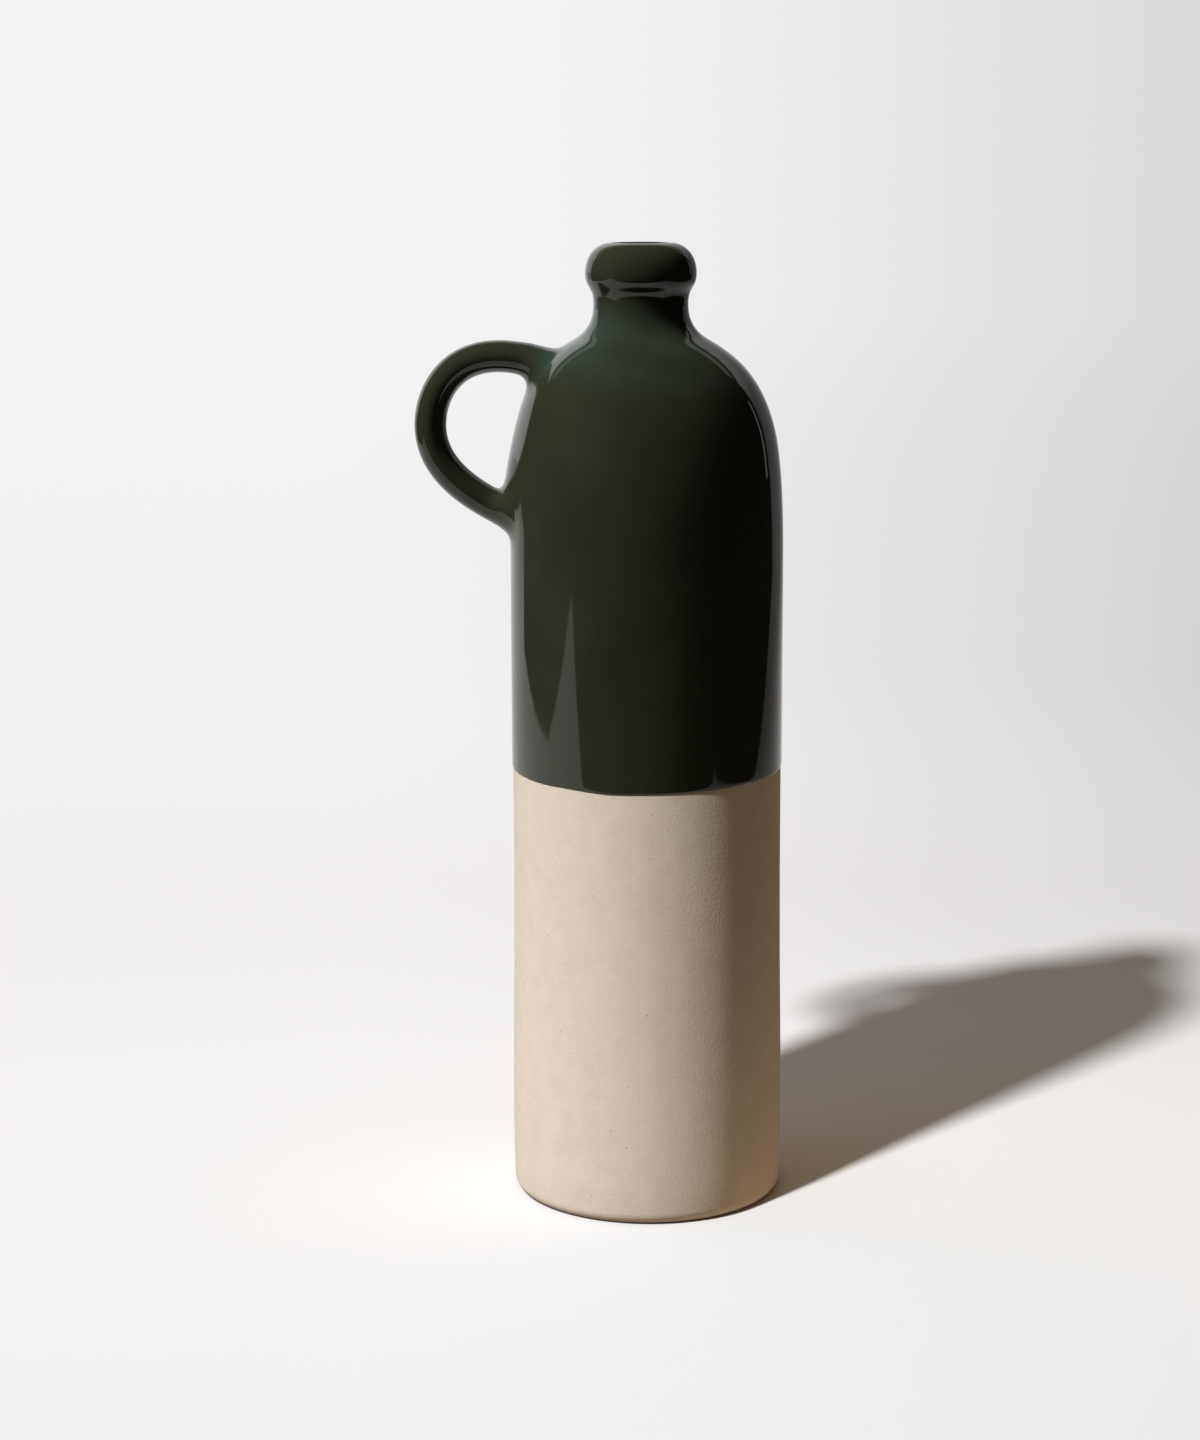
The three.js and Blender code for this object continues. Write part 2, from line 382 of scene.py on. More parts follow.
# The joining slip is the same clay with more iron, so it fires a shade darker.
slipLook = {**stonewareLook, "name": "firedJoiningSlip", "pale": "#c2b196", "warm": "#b8a486"}
waveTurn = 2 * math.pi / 20        # one ring of the Wave texture, at a scale of 1


def makeStoneware(look):
    material, tree, shader = newMaterial(look["name"])
    add = partial(addNode, tree)
    place = add("TexCoord")["Object"]
    mottle = add("TexNoise", {"Vector": place, "Detail": 4.0,
                              "Scale": perMetre(look["mottleMm"])})["Fac"]
    grain = add("TexNoise", {"Vector": place, "Detail": 3.0,
                             "Scale": perMetre(look["grainMm"])})["Fac"]
    tone = add("MapRange", {}, add("Math", plus, grain, mottle), *look["toneSpan"])
    clay = add("Mix", inColour, tone, hexColour(look["warm"]), hexColour(look["pale"]))
    rings = add("TexWave", {"bands_direction": "Z", "Vector": place, "Detail": 2.0,
                            "Scale": perMetre(look["ringMm"]) * waveTurn, "Distortion": 3.0})["Fac"]
    ringBump = add("Bump", {"Distance": look["ringDepthMm"] * metresPerMm, "Height": rings})
    grainBump = add("Bump", {"Distance": look["grainDepthMm"] * metresPerMm, "Height": grain,
                             "Normal": ringBump})
    fill(tree, shader.inputs["Base Color"], scatterSpecks(add, place, look, clay))
    fill(tree, shader.inputs["Roughness"], look["roughness"])
    fill(tree, shader.inputs["Specular IOR Level"], look["specular"])
    fill(tree, shader.inputs["Normal"], grainBump)
    return material


greenGlaze = makeGreenGlaze(greenGlazeLook)
bareStoneware = makeStoneware(stonewareLook)
joiningSlip = makeStoneware(slipLook)
print("materials ready")

# The thrown clay vessel: one closed wall, from the middle of the foot round to the floor inside.
clayBody = {
    "spinSteps": 128,
    "roundSteps": 6,
    "shoulderSteps": 24,
    "collarSteps": 10,
    "wallRows": (14, 24, 34, 46, 60, 80, 110, 150, 190),   # heights, closer where the foot spreads
}


def innerOutline(form, floorHeight, floorRound, topHeight):
    fillet = throatFillet(form, clayBody["roundSteps"])
    shoulder = shoulderLine(form, fillet[0][1], clayBody["shoulderSteps"])
    corner = quarterTurn((form["wall"], floorHeight + floorRound),
                         (form["wall"] - floorRound, floorHeight), True, clayBody["roundSteps"])
    down = [(form["throat"], topHeight)] + fillet[::-1] + shoulder[::-1]
    return down + corner + [(0, floorHeight)]


def makeClayBody():
    form = skin(0)
    wall = form["wall"]
    steps = clayBody["roundSteps"]
    fillet = throatFillet(form, steps)
    outline = [(0, 0)]
    outline += quarterTurn((wall - jug["footRound"], 0), (wall, jug["footRound"]), False, steps)
    outline += [(wall, z) for z in clayBody["wallRows"]]
    outline += shoulderLine(form, fillet[0][1], clayBody["shoulderSteps"])
    outline += fillet + mouthOutline(form, 0, clayBody["collarSteps"])
    lipFoot = outline.pop()[1]
    outline += innerOutline(innerSkin(0), jug["baseThickness"], jug["chamberRound"], lipFoot)
    bm = bmesh.new()
    spinOutline(bm, outline, clayBody["spinSteps"])
    settleByHand(bm)
    finishPiece("thrownClayBody", bm, bareStoneware, ["stoneware_body"])


makeClayBody()

# The glaze coat outside: one unbroken skin over wall, shoulder, neck, lip and handle.
# Row heights are set so that four rows span each handle root.
glazeCoat = {
    "spinSteps": 48,
    "line": 147.6,                 # height of the dip line on the axis
    "lineFrontDrop": 1.6,
    "lineRightRise": 0.2,
    "lineWaves": ((5, 0.7, 0.16), (9, 2.3, 0.12), (13, 4.1, 0.08)),   # count, phase, depth
    "lineReach": (1.0, 40.0),      # heights above it over which its tilt fades into level rows
    "lineEdge": ((1.2, 0.0), (0.5, 0.05), (0.12, 0.25), (0.0, 0.8)),   # coats deep, height above
    "wallRows": (152.0, 158.0, 170.0, 186.0, 202.0, 214.0, 221.0),
    "lowerRootRows": (225.6, 229.4, 233.4, 238.2, 242.4),
    "shoulderRows": (247.0, 252.4, 258.0, 263.6, 269.0),
    "upperRootRows": (273.6, 277.2, 280.4, 283.4, 286.0),
    "neckRow": 288.0,
    "filletSteps": 6,
    "collarSteps": 9,
    "boreDepth": 5.0,
    "subdivisions": 2,
}
# The pulled strap of the handle, measured on the clay; the coat adds its own thickness.
handleStrap = {
    "thickness": 9.8,
    "width": 14.5,
    "reach": 26.6,
    "upperRootHeight": 281.4,
    "upperRootAngle": 18.5,
    "upperRootPull": 31.5,
    "bellyHeight": 261.4,
    "bellyPullUp": 10.2,
    "bellyPullDown": 13.1,
    "lowerRootHeight": 231.8,
    "lowerRootAngle": 25.0,
    "lowerRootPull": 18.2,
    "rootSwell": 0.4,
    "rootSwellLength": 9.0,
    "upperRootGap": 5.0,           # the coat's first and last ring stand this far out of the wall
    "lowerRootGap": 7.5,
    "coreGap": 1.2,                # the clay core's end, with the slip between it and the wall
    "coreSwell": 1.08,
    "sides": 16,
    "rings": 22,
    "pathSteps": 120,
    "rootFaces": 2,                # faces cut out of the wall on each side of a root's middle
    "rootWidth": 12.0,             # half width of the smoothed root on the wall
    "tail": 2.6,                   # clay smoothed up the wall from the lower root, at its thickest
    "tailFoot": (226.0, 243.0),    # heights where it starts and is thickest
    "tailTop": 274.0,
    "tailWidth": 15.0,
}


def handlePath():
    form = skin(0)
    ends = []
    for end in ("upperRoot", "lowerRoot"):
        height = handleStrap[end + "Height"]
        turn = math.radians(handleStrap[end + "Angle"])
        root = Vector((leanAt(height) - radiusAt(form, height), 0, height))
        outward = Vector((-math.cos(turn), 0, math.sin(turn)))
        ends.append((root, root + handleStrap[end + "Pull"] * outward))
    belly = Vector((-form["wall"] - handleStrap["reach"], 0, handleStrap["bellyHeight"]))
    above = belly + Vector((0, 0, handleStrap["bellyPullUp"]))
    below = belly - Vector((0, 0, handleStrap["bellyPullDown"]))
    upper = interpolate_bezier(*ends[0], above, belly, handleStrap["pathSteps"])
    lower = interpolate_bezier(belly, below, *ends[1][::-1], handleStrap["pathSteps"])
    return upper + lower[1:]


# Ring places along the strap, evenly spaced between the two root gaps.
def handleStations(upperGap, lowerGap):
    path = handlePath()
    run = [0.0]
    for a, b in zip(path, path[1:]):
        run.append(run[-1] + (b - a).length)
    stations = []
    for i in range(handleStrap["rings"] + 1):
        want = upperGap + (run[-1] - upperGap - lowerGap) * i / handleStrap["rings"]
        k = min(max(j for j, d in enumerate(run) if d <= want), len(path) - 2)
        share = (want - run[k]) / (run[k + 1] - run[k])
        nearRoot = max(1 - min(want, run[-1] - want) / handleStrap["rootSwellLength"], 0)
        swell = 1 + handleStrap["rootSwell"] * nearRoot ** 2
        ahead = (path[min(k + 2, len(path) - 1)] - path[max(k - 1, 0)]).normalized()
        stations.append((path[k].lerp(path[k + 1], share), ahead, swell))
    return stations


# Cuts the faces of one root out of the wall and rounds the hole; gives its edges.
def openRoot(bm, form, rows):
    low, high = rows[0], rows[-1]
    half = math.radians(360 / glazeCoat["spinSteps"] * handleStrap["rootFaces"])
    slack = 0.1   # room for rounding
    hole = []
    for face in bm.faces:
        c = face.calc_center_median()
        if low < c.z < high and abs(math.atan2(c.y, -c.x)) < half:
            hole.append(face)
    bmesh.ops.delete(bm, geom=hole, context="FACES")
    rim = [e for e in bm.edges if e.is_boundary and low - slack < e.verts[0].co.z < high + slack]
    middle = rows[len(rows) // 2]
    for v in {v for e in rim for v in e.verts}:
        upDown = high - middle if v.co.z > middle else middle - low
        side = v.co.y / handleStrap["rootWidth"]
        rise = (v.co.z - middle) / upDown
        reach = max(math.hypot(side, rise), tiny)
        v.co.y = handleStrap["rootWidth"] * side / reach
        v.co.z = middle + upDown * rise / reach
        v.co.x = -math.sqrt(radiusAt(form, v.co.z) ** 2 - v.co.y ** 2)
    return rim


# Subdivision draws a ring of so many points in to this share of its radius.
def drawnIn(points):
    return (2 + math.cos(2 * math.pi / points)) / 3


# A place on the strap: x through its thickness, y across it, z along it.
def strapFrame(place, ahead):
    across = Vector((0, 1, 0))
    turn = Matrix((across.cross(ahead), across, ahead)).transposed().to_4x4()
    return Matrix.Translation(place) @ turn


def sweepStrap(bm, gaps, grow, mostSwell):
    sides = handleStrap["sides"]
    thick = (handleStrap["thickness"] / 2 + grow) / drawnIn(sides)
    wide = (handleStrap["width"] / 2 + grow) / drawnIn(sides)
    ring = bmesh.ops.create_circle(bm, cap_ends=False, segments=sides, radius=1)["verts"]
    edges = list(dict.fromkeys(e for v in ring for e in v.link_edges))   # each once, in order
    first = edges
    last = Matrix.Identity(4)
    for i, (place, ahead, swell) in enumerate(handleStations(*gaps)):
        swell = min(swell, mostSwell)
        frameHere = strapFrame(place, ahead) @ Matrix.Diagonal((thick * swell, wide * swell, 1, 1))
        if i:
            grown = bmesh.ops.extrude_edge_only(bm, edges=edges)["geom"]
            ring = [g for g in grown if isinstance(g, bmesh.types.BMVert)]
            edges = [g for g in grown if isinstance(g, bmesh.types.BMEdge)
                     and all(v in ring for v in g.verts)]
        bmesh.ops.transform(bm, matrix=frameHere @ last.inverted(), verts=ring)
        last = frameHere
    return first, edges


# Clay smoothed up from the lower root makes a low ridge on the wall.
def smoothUpRoot(bm):
    foot, thickest = handleStrap["tailFoot"]
    for v in bm.verts:
        if v.co.x < 0 and v.co.z < handleStrap["tailTop"]:
            share = (handleStrap["tailTop"] - v.co.z) / (handleStrap["tailTop"] - thickest)
            thick = min(share, 1) * smoothStep(foot, thickest, v.co.z)
            aside = v.co.y / handleStrap["tailWidth"]
            v.co.x -= handleStrap["tail"] * thick * math.exp(-aside * aside)


# The dip line: tilted as the jug was held, with small waves where the glaze stopped.
def lineShift(x, y):
    angle = math.atan2(y, x)
    wave = sum(depth * math.sin(count * angle + phase)
               for count, phase, depth in glazeCoat["lineWaves"])
    radius = jug["wallRadius"]
    return glazeCoat["lineFrontDrop"] * y / radius + glazeCoat["lineRightRise"] * x / radius + wave


def makeGlazeCoat():
    grow = jug["glazeThickness"]
    form = skin(grow)
    line = glazeCoat["line"]
    outline = [(form["wall"] - grow * depth, line + rise) for depth, rise in glazeCoat["lineEdge"]]
    rows = (glazeCoat["wallRows"] + glazeCoat["lowerRootRows"] + glazeCoat["shoulderRows"]
            + glazeCoat["upperRootRows"] + (glazeCoat["neckRow"],))
    outline += [(radiusAt(form, z), z) for z in rows]
    outline += throatFillet(form, glazeCoat["filletSteps"])
    outline += mouthOutline(form, grow, glazeCoat["collarSteps"])
    outline.append((outline[-1][0], outline[-1][1] - glazeCoat["boreDepth"]))
    bm = bmesh.new()
    spinOutline(bm, outline, glazeCoat["spinSteps"])
    upperRim = openRoot(bm, form, glazeCoat["upperRootRows"])
    lowerRim = openRoot(bm, form, glazeCoat["lowerRootRows"])
    shrink = drawnIn(glazeCoat["spinSteps"])
    bmesh.ops.scale(bm, vec=(1 / shrink, 1 / shrink, 1), verts=bm.verts)
    settleByHand(bm)
    smoothUpRoot(bm)
    near, far = glazeCoat["lineReach"]
    for v in bm.verts:
        v.co.z += lineShift(v.co.x, v.co.y) * (1 - smoothStep(line + near, line + far, v.co.z))
    gaps = (handleStrap["upperRootGap"], handleStrap["lowerRootGap"])
    upperRing, lowerRing = sweepStrap(bm, gaps, grow, 1 + handleStrap["rootSwell"])
    bmesh.ops.bridge_loops(bm, edges=upperRim + upperRing)
    bmesh.ops.bridge_loops(bm, edges=lowerRim + lowerRing)
    bmesh.ops.recalc_face_normals(bm, faces=bm.faces)
    piece = finishPiece("greenGlazeCoat", bm, greenGlaze,
                        ["body_glaze", "handle_glaze"])
    smoothSkin(piece, glazeCoat["subdivisions"])
    thickenCoat(piece)


makeGlazeCoat()

# The liner glaze inside, from the lip's inner edge down to the floor.
liner = {"spinSteps": 96}


def makeLiner():
    grow = jug["glazeThickness"]
    mouth = mouthOutline(skin(grow), grow, glazeCoat["collarSteps"])
    outline = innerOutline(innerSkin(grow), jug["baseThickness"] + grow, jug["chamberRound"] - grow,
                           mouth[-1][1] - glazeCoat["boreDepth"])
    bm = bmesh.new()
    spinOutline(bm, outline, liner["spinSteps"])
    bmesh.ops.reverse_faces(bm, faces=bm.faces)   # the liner is seen from inside the chamber
    settleByHand(bm)
    thickenCoat(finishPiece("linerGlaze", bm, greenGlaze, ["inner_glaze"]))


makeLiner()

# Under the coat: the strap's clay core, and a pad of slip between each of its ends and the wall.
slipPad = {
    "thickness": 0.8,
    "spread": 0.4,
    "segments": 48,
    "rimRound": 0.3,               # share of the thickness
    "rimSteps": 3,
}


def makeHandleCore():
    bm = bmesh.new()
    first, last = sweepStrap(bm, (handleStrap["coreGap"],) * 2, 0, handleStrap["coreSwell"])
    bmesh.ops.holes_fill(bm, edges=first + last)
    bmesh.ops.recalc_face_normals(bm, faces=bm.faces)
    piece = finishPiece("handleClayCore", bm, bareStoneware, ["handle"])
    smoothSkin(piece, glazeCoat["subdivisions"])


def makeSlipPad(name, node, station):
    place, ahead, _ = station
    bm = bmesh.new()
    pad = bmesh.ops.create_cone(bm, cap_ends=True, segments=slipPad["segments"],
                                radius1=1, radius2=1, depth=slipPad["thickness"])
    bmesh.ops.scale(bm, vec=(handleStrap["thickness"] / 2 + slipPad["spread"],
                             handleStrap["width"] / 2 + slipPad["spread"], 1), verts=pad["verts"])
    rims = [e for e in bm.edges if abs(e.verts[0].co.z - e.verts[1].co.z) < tiny]
    bmesh.ops.bevel(bm, geom=rims, offset=slipPad["thickness"] * slipPad["rimRound"],
                    affect="EDGES", segments=slipPad["rimSteps"], profile=0.5, material=-1)
    bmesh.ops.transform(bm, matrix=strapFrame(place, ahead), verts=bm.verts)
    finishPiece(name, bm, joiningSlip, [node])


makeHandleCore()
padStations = handleStations(slipPad["thickness"] / 2, slipPad["thickness"] / 2)
makeSlipPad("upperSlipJoint", "upper_luting", padStations[0])
makeSlipPad("lowerSlipJoint", "lower_luting", padStations[-1])

# Camera at the photograph's viewing angle: 75 mm lens on a frame 36 mm high, about 1 m in front.
view = {
    "place": (0, -991.3, 351.0),
    "down": 10.7817,
    "left": 0.9115,
    "roll": -0.2032,
    "lens": 75,
    "frameHeight": 36,
}


def makeCamera():
    data = bpy.data.cameras.new("camera")
    data.sensor_fit = "VERTICAL"
    data.sensor_height = view["frameHeight"]
    data.sensor_width = view["frameHeight"]
    data.lens = view["lens"]
    camera = bpy.data.objects.new("camera", data)
    bpy.context.scene.collection.objects.link(camera)
    camera.matrix_world = (Matrix.Translation(Vector(view["place"]) * metresPerMm)
                           @ Matrix.Rotation(math.radians(view["left"]), 4, "Z")
                           @ Matrix.Rotation(math.radians(90 - view["down"]), 4, "X")
                           @ Matrix.Rotation(math.radians(view["roll"]), 4, "Z"))
    bpy.context.scene.camera = camera


makeCamera()

# The set: white paper under the jug, a lit white wall behind it, a dark room on the camera's side.
# Distances in metres; the paper's edges lie outside the camera's view and show only in the glaze.
studio = {
    "floorSize": 400,
    # painted shade: the paper is painted darker towards the right
    "floorLeft": "#eff0f1",
    "floorRight": "#e4e5e6",
    "floorBackLeft": "#e8e9ea",    # painted shade: behind the jug the paper is painted darker
    "floorBackRight": "#c2c3c4",
    "floorBackSpan": (0.0, 0.45),
    "seenLeft": "#f5f5f5",         # the far floor and the wall as the camera sees them, with painted shade towards the right
    "seenRight": "#c3c3c3",
    "midLeft": "#f1f1f1",          # the floor about a metre behind the jug, with painted shade towards the right
    "midRight": "#bcbcbc",
    "midSpan": (1.0, 6.0),
    "cameraBack": 1.0,             # from the jug to the camera
    "shadeSpan": (-0.12, 0.42),    # from the left of the picture to beyond its right edge
    "shadeStarts": (-0.95, -0.45),   # no shade on the camera's own side
    "shadeAhead": (0.0, 0.4),      # and none far out at the sides
    "paperFades": (0.42, 1.1),     # distance over which lit paper turns into plain white
    "paperMirror": "#e0e0e0",      # the paper as the glaze mirrors it
    "floorBounce": "#9c9083",      # what the paper throws back onto the jug
    "floorBounceNear": "#cfbc9e",  # painted light: a brighter patch close to the jug's right side, which throws more light onto its foot
    "bounceNear": (0.07, 0.2),
    "bounceRight": (-0.01, 0.05),
    "paperFront": -0.415,
    "paperFrontTurn": -0.55,       # left of here the front edge slants towards the camera
    "paperFrontSlant": 0.28,
    "paperLeft": 0.85,
    "paperLeftFlare": 0.77,        # the left edge runs out this much per metre towards the camera
    "paperLeftSpread": 0.16,       # and this much towards the wall
    "paperRight": 0.64,
    "paperRightFlare": 0.55,       # and the right edge towards the wall
    "paperDimSpan": (0.0, 0.9),
    "paperDim": "#707070",         # painted shade: its right side, as the glaze mirrors it
    "roomDark": "#0e0e0d",
    "wallEdges": (55, 50),         # degrees to the left and right of straight back
    "wallRise": 0.78,              # top of the wall, in metres per metre of distance
    "railRise": 1.0,               # a bright rail above it
    "railWidth": 0.1,
    "railColour": "#9c9c94",
    "wallTop": "#ffffff",
    "wallLift": 0.35,              # the wall is this much whiter higher up
    "wallLiftSpan": (0.3, 0.7),
    "wallTones": ("#ffffff", "#ffffff", "#7e7e7e"),   # mirrored on the left, behind, on the right
    "farFloorTones": ("#a5a5a5", "#f8f8f8", "#7c7c7c"),
    "slitTurn": 1.45,              # a thin bright gap to the right of the wall, on the horizon
    "slitWidth": 0.055,
    "slitRise": 0.6,
    "slitFar": 8.0,
    "slitColour": "#d0d6e0",
    "leftTurn": (-1.2, -0.45),     # sideways metres per metre of distance
    "rightTurn": (-0.3, 0.5),
    "farFloorSpan": (1.0, 2.4),
    "mostEven": 1.6,               # painted light: the paper's colour is raised by up to this much to make up for its lamp's falling off
    "softRise": 1.2,               # height of the wall's soft light
    "wallLight": "#cab296",        # what the wall throws on the floor and the jug's back
    "roomLight": "#2a241d",
    "leftFill": "#a6b5d0",
    "fillSpan": (0.4, 1.0),
    "overhead": "#8b7e6d",         # soft light from above, which reaches into the shadow
    "overheadSpan": (0.8, 0.92),
    "clayKeyFrom": (-52.5, 45),    # degrees round from the front, degrees up
    "clayKeyStrength": 4.95,
    "clayKeyColour": "#f2f5ff",
    "clayKeyWidth": 4.9,
    "glazeKeyFrom": (-68, 48),     # further round, because dark glaze swallows slanting light
    "glazeKeyStrength": 5.15,
    "glazeKeyColour": "#ffffff",
    "glazeKeyWidth": 16,
    "paperKeyFrom": (-37.4, 45.2),   # stands closer, so that the shadow widens as it runs out
    "paperKeyFar": 1.5,
    "paperKeyAim": 0.16,
    "paperKeyPower": 44.5,
    "paperKeyRadius": 0.058,
}


def towardsLamp(fromWhere):
    aside, up = (math.radians(a) for a in fromWhere)
    return Vector((math.sin(aside) * math.cos(up), -math.cos(aside) * math.cos(up), math.sin(up)))


def paperLampPlace():
    aim = Vector((0, 0, studio["paperKeyAim"]))
    return studio["paperKeyFar"] * towardsLamp(studio["paperKeyFrom"]) + aim


def studioColour(name):
    return hexColour(studio[name])


# A tone that differs to the left, straight behind and to the right.
def acrossTone(add, sideways, tones):
    left, middle, right = (hexColour(tone) for tone in tones)
    leftTurn = add("MapRange", smoothly, sideways, *studio["leftTurn"])
    rightTurn = add("MapRange", smoothly, sideways, *studio["rightTurn"])
    return add("Mix", inColour, rightTurn, add("Mix", inColour, leftTurn, left, middle), right)


# White seamless paper, smooth and quite matte, so it has no gloss. The camera sees it lit, fading
# into plain white; the glaze mirrors its outline, and the jug gets the light that it throws back.
def makeWhitePaper():
    material, tree, shader = newMaterial("whitePaper")
    add = partial(addNode, tree)
    spot = add("TexCoord")["Object"]
    place = add("SeparateXYZ", {}, spot)
    x, y = place["X"], place["Y"]
    away = add("VectorMath", lengthOf, spot)
    light = add("LightPath")
    dark = studioColour("roomDark")
    # painted shade: the camera sees the paper darker towards the right, in step with the wall
    # behind, and darker behind the jug
    rightTurn = add("Math", over, x, add("Math", plus, y, studio["cameraBack"]))
    shaded = add("MapRange", smoothly, rightTurn, *studio["shadeSpan"])
    rightward = add("Math", times, shaded, add("MapRange", smoothly, y, *studio["shadeStarts"]))
    behind = add("MapRange", smoothly, y, *studio["floorBackSpan"])
    paperLeft = add("Mix", inColour, behind,
                    studioColour("floorLeft"), studioColour("floorBackLeft"))
    paperRight = add("Mix", inColour, behind,
                     studioColour("floorRight"), studioColour("floorBackRight"))
    paper = add("Mix", inColour, rightward, paperLeft, paperRight)
    farther = add("MapRange", smoothly, away, *studio["midSpan"])
    whiteLeft = add("Mix", inColour, farther, studioColour("midLeft"), studioColour("seenLeft"))
    whiteRight = add("Mix", inColour, farther, studioColour("midRight"), studioColour("seenRight"))
    ahead = add("Math", over, y, add("Math", atLeast, away, tiny))
    farShaded = add("Math", times, shaded, add("MapRange", smoothly, ahead, *studio["shadeAhead"]))
    white = add("Mix", inColour, farShaded, whiteLeft, whiteRight)
    # the paper's outline; further back it is as wide as the wall
    turn = add("Math", atLeast, add("Math", minus, studio["paperFrontTurn"], x), 0.0)
    frontEdge = add("Math", timesPlus, turn, -studio["paperFrontSlant"], studio["paperFront"])
    inFront = add("Math", moreThan, y, frontEdge)
    wallLeft, wallRight = (add("Math", times, y, math.tan(math.radians(edge)))
                           for edge in studio["wallEdges"])
    backward = add("Math", atLeast, y, 0.0)
    forward = add("Math", atMost, y, 0.0)
    flareRight = add("Math", timesPlus, backward, studio["paperRightFlare"], studio["paperRight"])
    spreadLeft = add("Math", timesPlus, backward, studio["paperLeftSpread"], studio["paperLeft"])
    flareLeft = add("Math", timesPlus, forward, -studio["paperLeftFlare"], spreadLeft)
    inRight = add("Math", lessThan, x, add("Math", atLeast, flareRight, wallRight))
    leftOfJug = add("Math", times, x, -1.0)
    inLeft = add("Math", lessThan, leftOfJug, add("Math", atLeast, flareLeft, wallLeft))
    inside = add("Math", times, inFront, add("Math", times, inRight, inLeft))
    # what the glaze mirrors, with painted shade on the paper's right side, and what is thrown back
    # onto the jug
    dimmer = add("MapRange", smoothly, x, *studio["paperDimSpan"])
    dimmed = add("Mix", inColour, dimmer, studioColour("paperMirror"), studioColour("paperDim"))
    mirrored = add("Mix", inColour, inside, dark, dimmed)
    closeBy = add("Math", times, add("MapRange", smoothly, away, *studio["bounceNear"], *falling),
                  add("MapRange", smoothly, x, *studio["bounceRight"]))
    warmed = add("Mix", inColour, closeBy,
                 studioColour("floorBounce"), studioColour("floorBounceNear"))
    bounce = add("Mix", inColour, inside, dark, warmed)
    seen = add("Mix", inColour, light["Is Glossy Ray"], paper, mirrored)
    thrown = add("Mix", inColour, light["Is Diffuse Ray"], seen, bounce)
    # the near lamp's light falls off over the paper; painted light evens it out, the colour raised
    # with the distance from the lamp
    lamp = paperLampPlace()
    reach = add("VectorMath", {"operation": "DISTANCE"}, spot, lamp)
    gain = add("Math", atMost, add("Math", over, reach, lamp.length), studio["mostEven"])
    even = add("VectorMath", {"operation": "SCALE"}, thrown, gain)
    # far away, plain tones for the camera and for the glaze
    sideways = add("Math", over, x, add("Math", atLeast, y, tiny))
    farTone = acrossTone(add, sideways, studio["farFloorTones"])
    onSlit = add("Math", times, add("Math", moreThan, away, studio["slitFar"]),
                 add("Math", closeTo, sideways, studio["slitTurn"], studio["slitWidth"]))
    beside = add("Mix", inColour, onSlit, dark, studioColour("slitColour"))
    farMirrored = add("Mix", inColour, inside, beside, farTone)
    plain = add("Emission", {}, add("Mix", inColour, light["Is Glossy Ray"], white, farMirrored))
    forCamera = add("Math", times, add("MapRange", smoothly, away, *studio["paperFades"]),
                    light["Is Camera Ray"])
    faded = add("Math", timesPlus, add("MapRange", smoothly, away, *studio["farFloorSpan"]),
                light["Is Glossy Ray"], forCamera)
    fill(tree, shader.inputs["Base Color"], even)
    fill(tree, shader.inputs["Roughness"], 1.0)
    fill(tree, shader.inputs["Specular IOR Level"], 0.0)
    surface = add("MixShader", {}, faded, shader.outputs["BSDF"], plain)
    fill(tree, tree.nodes["Material Output"].inputs["Surface"], surface)
    return material


def makeFloor():
    bm = bmesh.new()
    bmesh.ops.create_grid(bm, x_segments=1, y_segments=1, size=studio["floorSize"] / 2)
    mesh = bpy.data.meshes.new("paperFloor")
    bm.to_mesh(mesh)
    bm.free()
    mesh.materials.append(makeWhitePaper())
    floor = bpy.data.objects.new("paperFloor", mesh)
    bpy.context.scene.collection.objects.link(floor)
    return floor


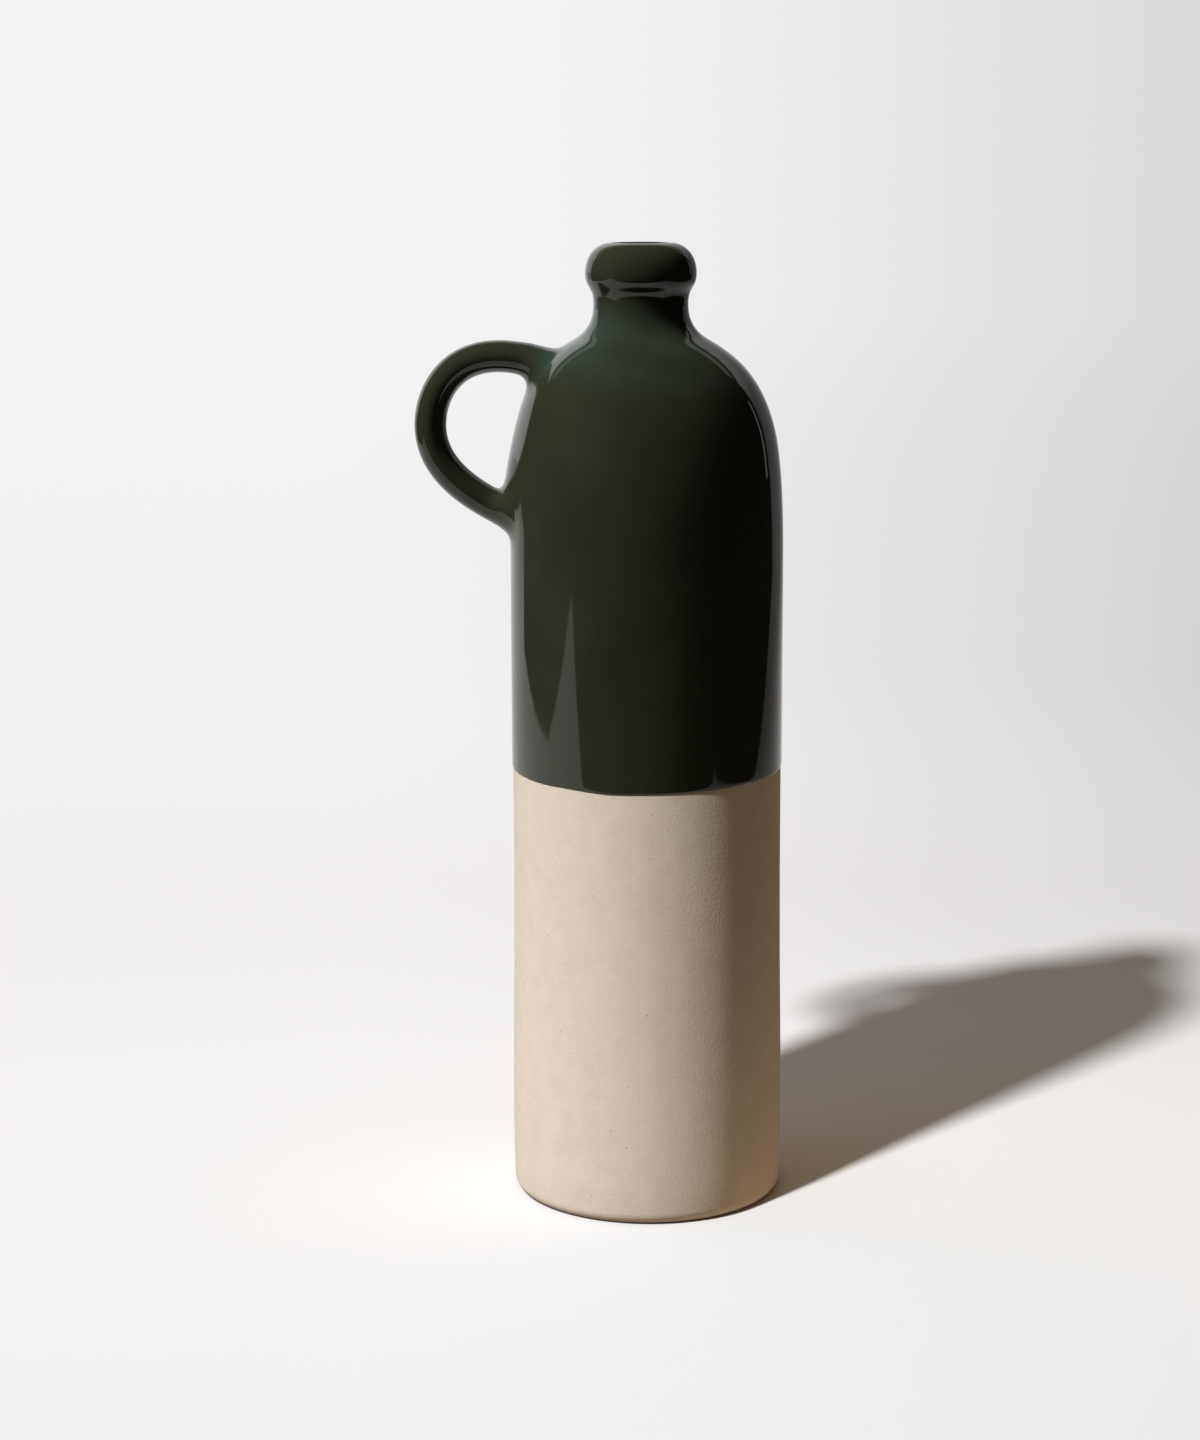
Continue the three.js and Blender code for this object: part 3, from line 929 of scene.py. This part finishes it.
def makeWorld():
    world = bpy.data.worlds.new("studio")
    bpy.context.scene.world = world
    world.use_nodes = True
    tree = world.node_tree
    add = partial(addNode, tree)
    way = add("SeparateXYZ", {}, add("TexCoord")["Generated"])
    x, y, z = way["X"], way["Y"], way["Z"]
    light = add("LightPath")
    ahead = add("Math", atLeast, y, tiny)
    sideways = add("Math", over, x, ahead)
    rise = add("Math", over, z, ahead)
    # camera: the same white as the far floor, with the same painted shade towards the right
    shaded = add("Math", times, add("MapRange", smoothly, sideways, *studio["shadeSpan"]),
                 add("MapRange", smoothly, y, *studio["shadeAhead"]))
    seen = add("Mix", inColour, shaded, studioColour("seenLeft"), studioColour("seenRight"))
    # glossy: the lit wall behind with a rail above it, dark room elsewhere
    leftEdge, rightEdge = (math.tan(math.radians(edge)) for edge in studio["wallEdges"])
    between = add("Math", times, add("Math", moreThan, sideways, -leftEdge),
                  add("Math", lessThan, sideways, rightEdge))
    onWall = add("Math", times, between, add("Math", lessThan, rise, studio["wallRise"]))
    onRail = add("Math", times, between,
                 add("Math", closeTo, rise, studio["railRise"], studio["railWidth"]))
    lift = add("MapRange", smoothly, rise, *studio["wallLiftSpan"], 0.0, studio["wallLift"])
    tones = acrossTone(add, sideways, studio["wallTones"])
    wall = add("Mix", inColour, lift, tones, studioColour("wallTop"))
    onSlit = add("Math", times, add("Math", lessThan, rise, studio["slitRise"]),
                 add("Math", closeTo, sideways, studio["slitTurn"], studio["slitWidth"]))
    beside = add("Mix", inColour, onSlit, studioColour("roomDark"), studioColour("slitColour"))
    room = add("Mix", inColour, onRail, beside, studioColour("railColour"))
    mirrored = add("Mix", inColour, onWall, room, wall)
    # everything else: warm light off the wall, a little from the room, a cool fill from the left
    leftward = add("MapRange", smoothly, add("Math", times, x, -1.0), *studio["fillSpan"])
    sideFill = add("Mix", inColour, leftward, studioColour("roomLight"), studioColour("leftFill"))
    softWall = add("Math", times, between, add("Math", lessThan, rise, studio["softRise"]))
    walled = add("Mix", inColour, softWall, sideFill, studioColour("wallLight"))
    upward = add("MapRange", smoothly, z, *studio["overheadSpan"])
    soft = add("Mix", inColour, upward, walled, studioColour("overhead"))
    glossy = add("Mix", inColour, light["Is Glossy Ray"], soft, mirrored)
    final = add("Mix", inColour, light["Is Camera Ray"], glossy, seen)
    fill(tree, tree.nodes["Background"].inputs["Color"], final)


# Each lamp lights only its own collection, and none of them shows in the glaze.
def placeLamp(name, data, lit):
    lamp = bpy.data.objects.new(name, data)
    bpy.context.scene.collection.objects.link(lamp)
    lamp.visible_glossy = False
    lamp.light_linking.receiver_collection = bpy.data.collections.new(name + "Lights")
    for thing in lit:
        lamp.light_linking.receiver_collection.objects.link(thing)
    return lamp


def makeKeyLights(floor):
    pieces = [thing for thing in bpy.context.scene.objects
              if thing.type == "MESH" and thing != floor]
    glazed = [thing for thing in pieces if greenGlaze.name in thing.data.materials]
    bare = [thing for thing in pieces if thing not in glazed]
    for name, lit in (("glazeKey", glazed), ("clayKey", bare)):
        sun = bpy.data.lights.new(name, "SUN")
        sun.energy = studio[name + "Strength"]
        sun.color = studioColour(name + "Colour")[:3]
        sun.angle = math.radians(studio[name + "Width"])
        shining = -towardsLamp(studio[name + "From"])
        placeLamp(name, sun, lit).rotation_euler = shining.to_track_quat("-Z", "Y").to_euler()
    bulb = bpy.data.lights.new("paperKey", "POINT")
    bulb.energy = studio["paperKeyPower"]
    bulb.shadow_soft_size = studio["paperKeyRadius"]
    bulb.use_nodes = True
    tree = bulb.node_tree
    even = addNode(tree, "LightFalloff", {"Strength": 1.0})["Constant"]
    fill(tree, tree.nodes["Emission"].inputs["Strength"], even)
    placeLamp("paperKey", bulb, [floor]).location = paperLampPlace()


paperFloor = makeFloor()
makeWorld()
makeKeyLights(paperFloor)
bpy.context.scene.view_settings.view_transform = "Standard"
print("studio ready")
